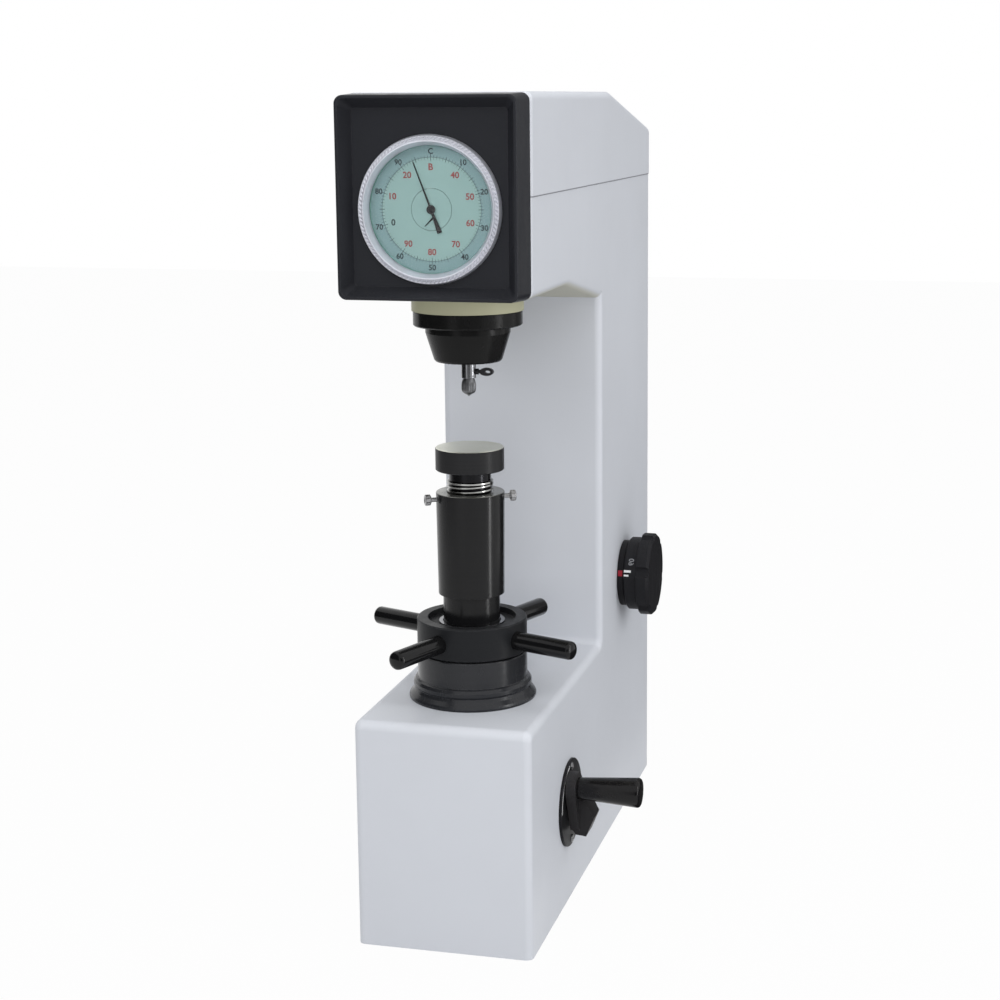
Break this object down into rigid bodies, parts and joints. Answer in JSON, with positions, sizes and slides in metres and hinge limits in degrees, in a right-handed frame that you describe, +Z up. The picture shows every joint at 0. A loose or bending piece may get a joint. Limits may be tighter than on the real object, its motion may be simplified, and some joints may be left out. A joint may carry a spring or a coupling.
{
  "type": "bench hardness tester",
  "caption": "Bench hardness tester with a C-shaped cast frame, a dial head over an elevating screw with anvil and handwheel, a load knob and a side loading handle.",
  "frame": {"origin": "centre of the base's footprint, on the bench", "axes": "+X towards the operator's right, where the knob and the loading handle are; the front with the dial faces -Y; +Z up"},
  "size_m": [0.2524, 0.5287, 0.728],
  "materials": {
    "body_paint": "satin powder coat, pale cool grey",
    "boss_paint": "satin paint",
    "black_plastic": "fine moulded texture",
    "gloss_black": "gloss moulded",
    "black_steel": "satin blackened steel",
    "ground_steel": "ground",
    "bright_steel": "turned bright",
    "bezel_metal": "satin chrome, knurled",
    "dial_print": "matt printed pale green",
    "pointer_black": "matt black",
    "crystal": "clear flat glass",
    "bronze": "turned bronze",
    "cast_grey": "cast and machined",
    "spring_steel": "drawn wire"
  },
  "bodies": {
    "frame": {"frame_casting": "body_paint", "rear_cover": "body_paint", "rear_cover_screws": "bright_steel", "dial_housing": "black_plastic", "gauge_case": "bright_steel", "dial_centre": "dial_print", "nose_cone": "black_steel", "spindle_bush": "bronze", "fulcrum_blocks": "cast_grey", "measuring_bracket": "bright_steel", "screw_collar": "black_steel", "guide_bush": "bronze", "screw_key": "bright_steel", "thrust_bearing": "bright_steel", "dashpot_cylinder": "cast_grey", "rocker_bracket": "cast_grey", "rocker_pin": "bright_steel", "crank_plate": "black_steel", "crank_plate_screws": "black_steel", "crank_bush": "bronze", "index_ring": "black_plastic", "selector_bush": "bronze"},
    "cover": {"top_cover": "body_paint"},
    "handwheel": {"handwheel_hub": "black_steel", "elevating_nut": "bronze", "handwheel_bars": "gloss_black", "seat_ring": "bright_steel", "lower_sleeve": "black_steel"},
    "screw": {"elevating_screw": "bright_steel", "anvil": "black_steel", "upper_sleeve": "black_steel"},
    "right_sleeve_screw": {"sleeve_screw_right": "bright_steel"},
    "left_sleeve_screw": {"sleeve_screw_left": "bright_steel"},
    "bezel": {"dial_bezel": "bezel_metal", "dial_face": "dial_print", "dial_spacer": "dial_print", "dial_crystal": "crystal"},
    "pointer": {"main_pointer": "pointer_black"},
    "counter": {"small_pointer": "pointer_black"},
    "plunger": {"gauge_plunger": "bright_steel"},
    "gauge_lever": {"measuring_lever": "bright_steel"},
    "spindle_group": {"spindle": "bright_steel", "indenter": "black_steel", "preload_spring": "spring_steel"},
    "clamp_screw": {"indenter_screw": "black_steel"},
    "load_handle": {"crank_arm": "black_steel", "crank_grip": "gloss_black", "crank_shaft": "bright_steel", "lift_cam": "ground_steel"},
    "rocker_group": {"rocker": "cast_grey"},
    "push_rod": {"piston_rod": "bright_steel"},
    "load_lever": {"main_lever": "cast_grey", "fulcrum_pin": "bright_steel", "load_knife": "ground_steel"},
    "hanger": {"hanger_rod": "bright_steel", "weight_lower": "cast_grey", "weight_middle": "cast_grey", "weight_upper": "cast_grey"},
    "selector": {"selector_knob": "gloss_black", "selector_shaft": "bright_steel"}
  },
  "joints": [
    {"name": "cover_lift", "type": "slide", "parent": "frame", "child": "cover", "axis": [0, 0, 1], "range_m": [0, 0.08]},
    {"name": "handwheel_turn", "type": "hinge", "parent": "frame", "child": "handwheel", "pos_m": [0, -0.156, 0.2574], "axis": [0, 0, -1], "range_deg": [-1980, 3960]},
    {"name": "screw_lift", "type": "slide", "parent": "frame", "child": "screw", "axis": [0, 0, 1], "range_m": [-0.022, 0.044]},
    {"name": "right_sleeve_screw_turn", "type": "hinge", "parent": "screw", "child": "right_sleeve_screw", "pos_m": [0, -0.156, 0.379], "axis": [0.8829, 0.4695, 0], "range_deg": [0, 720]},
    {"name": "left_sleeve_screw_turn", "type": "hinge", "parent": "screw", "child": "left_sleeve_screw", "pos_m": [0, -0.156, 0.379], "axis": [-0.8829, -0.4695, 0], "range_deg": [0, 720]},
    {"name": "bezel_turn", "type": "hinge", "parent": "frame", "child": "bezel", "pos_m": [0, -0.2579, 0.635], "axis": [0, 1, 0], "continuous": true},
    {"name": "pointer_turn", "type": "hinge", "parent": "frame", "child": "pointer", "pos_m": [0, -0.2557, 0.635], "axis": [0, 1, 0], "range_deg": [0, 1441]},
    {"name": "counter_turn", "type": "hinge", "parent": "frame", "child": "counter", "pos_m": [0, -0.2547, 0.627], "axis": [0, 1, 0], "range_deg": [-145, 0]},
    {"name": "spindle_slide", "type": "slide", "parent": "frame", "child": "spindle_group", "axis": [0, 0, 1], "range_m": [0, 0.0008], "deforming": ["preload_spring"]},
    {"name": "clamp_screw_turn", "type": "hinge", "parent": "spindle_group", "child": "clamp_screw", "pos_m": [0.0162, -0.156, 0.4905], "axis": [1, 0, 0], "range_deg": [0, 720]},
    {"name": "plunger_slide", "type": "slide", "parent": "frame", "child": "plunger", "axis": [0, 0, 1], "range_m": [0, 0.00405]},
    {"name": "gauge_lever_tilt", "type": "hinge", "parent": "frame", "child": "gauge_lever", "pos_m": [0, -0.1345, 0.58], "axis": [1, 0, 0], "range_deg": [-2.2, 0]},
    {"name": "load_handle_swing", "type": "hinge", "parent": "frame", "child": "load_handle", "pos_m": [0.086, -0.117, 0.092], "axis": [1, 0, 0], "range_deg": [0, 75]},
    {"name": "rocker_tilt", "type": "hinge", "parent": "frame", "child": "rocker_group", "pos_m": [0.031, 0.02, 0.04], "axis": [1, 0, 0], "range_deg": [-5.3, 0]},
    {"name": "push_rod_slide", "type": "slide", "parent": "frame", "child": "push_rod", "axis": [0, 0, 1], "range_m": [-0.0134, 0]},
    {"name": "load_lever_tilt", "type": "hinge", "parent": "frame", "child": "load_lever", "pos_m": [0, -0.173, 0.612], "axis": [1, 0, 0], "range_deg": [-2.3, 0]},
    {"name": "hanger_slide", "type": "slide", "parent": "frame", "child": "hanger", "axis": [0, 0, 1], "range_m": [-0.0133, 0]},
    {"name": "selector_turn", "type": "hinge", "parent": "frame", "child": "selector", "pos_m": [0.098, 0.124, 0.248], "axis": [1, 0, 0], "range_deg": [0, 240]}
  ],
  "couplings": [
    {"joint": "handwheel_turn", "follows": "screw_lift", "rad_per_m": 1570.8},
    {"joint": "pointer_turn", "follows": "spindle_slide", "rad_per_m": 31416},
    {"joint": "counter_turn", "follows": "spindle_slide", "rad_per_m": -3141.6},
    {"joint": "plunger_slide", "follows": "spindle_slide", "ratio": 5},
    {"joint": "gauge_lever_tilt", "follows": "spindle_slide", "rad_per_m": -46.512},
    {"joint": "load_handle_swing", "follows": "hanger_slide", "rad_per_m": -98.42},
    {"joint": "rocker_tilt", "follows": "hanger_slide", "rad_per_m": 6.8147},
    {"joint": "push_rod_slide", "follows": "hanger_slide", "ratio": 1},
    {"joint": "load_lever_tilt", "follows": "hanger_slide", "rad_per_m": 2.9397}
  ]
}
